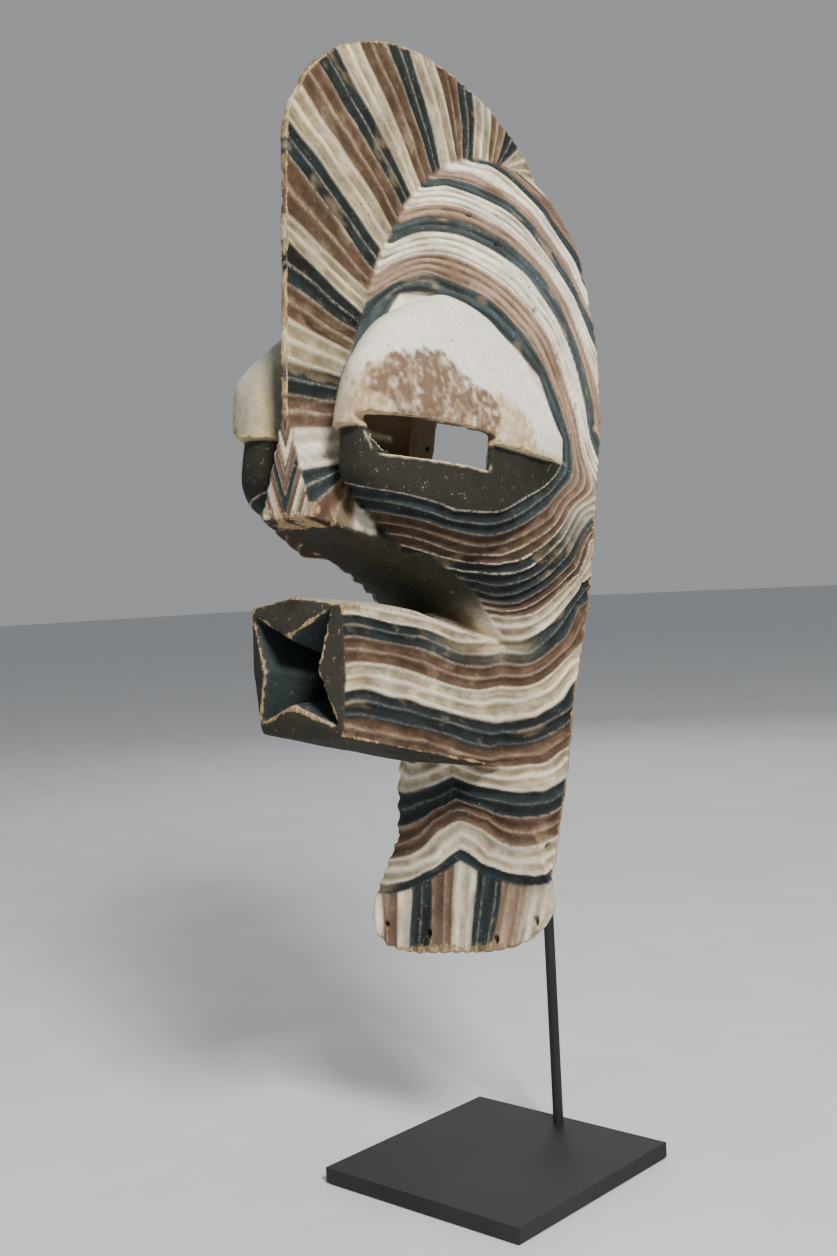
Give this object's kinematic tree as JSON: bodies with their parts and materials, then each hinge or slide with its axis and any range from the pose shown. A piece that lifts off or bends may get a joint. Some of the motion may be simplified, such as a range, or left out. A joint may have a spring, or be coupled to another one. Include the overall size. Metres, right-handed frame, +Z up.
{
  "type": "carved mask on a display stand",
  "caption": "Tall carved and grooved wooden mask with a fin-like crest, far-standing slit eyes and a box mouth, leaning on a square-based rod stand behind it.",
  "frame": {"origin": "on the floor, under the middle of the square base plate", "axes": "+Z up, the mask faces -Y, its left side is +X"},
  "size_m": [0.182, 0.2799, 0.8174],
  "materials": {
    "painted_wood": "worn mineral pigment in banded grooves",
    "black_steel": "satin black",
    "felt": "matt felt",
    "plain_steel": "plain",
    "sleeve_rubber": "soft matt"
  },
  "bodies": {
    "stand": {"base_plate": "black_steel", "base_felt": "felt", "base_screw": "plain_steel", "post": "black_steel", "upper_arm": "black_steel", "crown_bar": "black_steel", "crown_sleeves": "sleeve_rubber", "lower_arm": "black_steel", "chin_bar": "black_steel", "chin_sleeves": "sleeve_rubber"},
    "mask": {"carved_mask": "painted_wood"}
  },
  "joints": [
    {"name": "mask_lift", "type": "slide", "parent": "stand", "child": "mask", "axis": [0, -0.5, 0.866], "range_m": [0, 0.12]}
  ]
}
